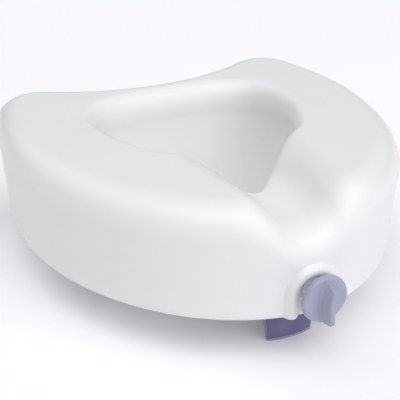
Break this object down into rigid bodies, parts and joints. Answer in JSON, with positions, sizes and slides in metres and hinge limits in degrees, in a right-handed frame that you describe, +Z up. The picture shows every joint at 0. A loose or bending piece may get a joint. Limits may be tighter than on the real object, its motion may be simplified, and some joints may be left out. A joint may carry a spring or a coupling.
{
  "type": "raised toilet seat",
  "caption": "Blow-moulded raised toilet seat ring with a dipped front, rear hooks and a knob-driven front clamp that locks it on the bowl rim.",
  "frame": {"origin": "on the seat's centre line, in the flat underside that rests on the bowl rim", "axes": "+Z up, -Y towards the front with the knob, +X to the seated user's left"},
  "size_m": [0.43, 0.4501, 0.1684],
  "materials": {
    "white_hdpe": "satin white blow-moulded polyethylene",
    "white_cap": "white polyethylene plug",
    "knob_violet": "grey-violet moulded plastic, satin gloss",
    "bracket_violet": "dark grey-violet moulded plastic",
    "housing_grey": "light grey moulded plastic",
    "hook_grey": "grey-violet moulded plastic",
    "acetal": "natural acetal",
    "washer_nylon": "natural nylon",
    "pad_rubber": "dark grey-violet rubber facing",
    "rim_rubber": "dark grey anti-slip rubber",
    "screw_steel": "bright zinc-plated steel",
    "pin_steel": "spring steel",
    "clip_steel": "dark spring steel",
    "washer_steel": "zinc-plated steel",
    "keeper_steel": "zinc-plated sheet steel",
    "brass_nut": "turned brass",
    "zinc_screws": "zinc-plated steel screws"
  },
  "bodies": {
    "seat": {"seat_body": "white_hdpe", "vent_plug": "white_cap", "front_bushing": "acetal", "tip_bushing": "acetal", "lock_housing": "housing_grey", "housing_screws": "zinc_screws", "rear_hook_left": "hook_grey", "rear_hook_right": "hook_grey", "hook_pad_left": "pad_rubber", "hook_pad_right": "pad_rubber", "hook_screws": "zinc_screws", "hook_washers": "washer_steel", "rim_pad_left_front": "rim_rubber", "rim_pad_left_middle": "rim_rubber", "rim_pad_left_rear": "rim_rubber", "rim_pad_right_front": "rim_rubber", "rim_pad_right_middle": "rim_rubber", "rim_pad_right_rear": "rim_rubber"},
    "knob": {"lock_knob": "knob_violet", "knob_pin": "pin_steel", "lock_screw": "screw_steel", "thrust_washer": "washer_nylon", "clip_washer": "washer_steel", "retaining_clip": "clip_steel"},
    "clamp": {"clamp_bracket": "bracket_violet", "clamp_pad": "pad_rubber", "clamp_nut": "brass_nut", "nut_keeper": "keeper_steel", "keeper_screws": "zinc_screws"}
  },
  "joints": [
    {"name": "knob_turn", "type": "hinge", "parent": "seat", "child": "knob", "pos_m": [0, -0.217, 0.028], "axis": [0, -1, 0], "range_deg": [-720, 1440]},
    {"name": "clamp_slide", "type": "slide", "parent": "seat", "child": "clamp", "axis": [0, 1, 0], "range_m": [-0.01, 0.02]}
  ],
  "couplings": [
    {"joint": "clamp_slide", "follows": "knob_turn", "m_per_rad": 0.00079577}
  ]
}
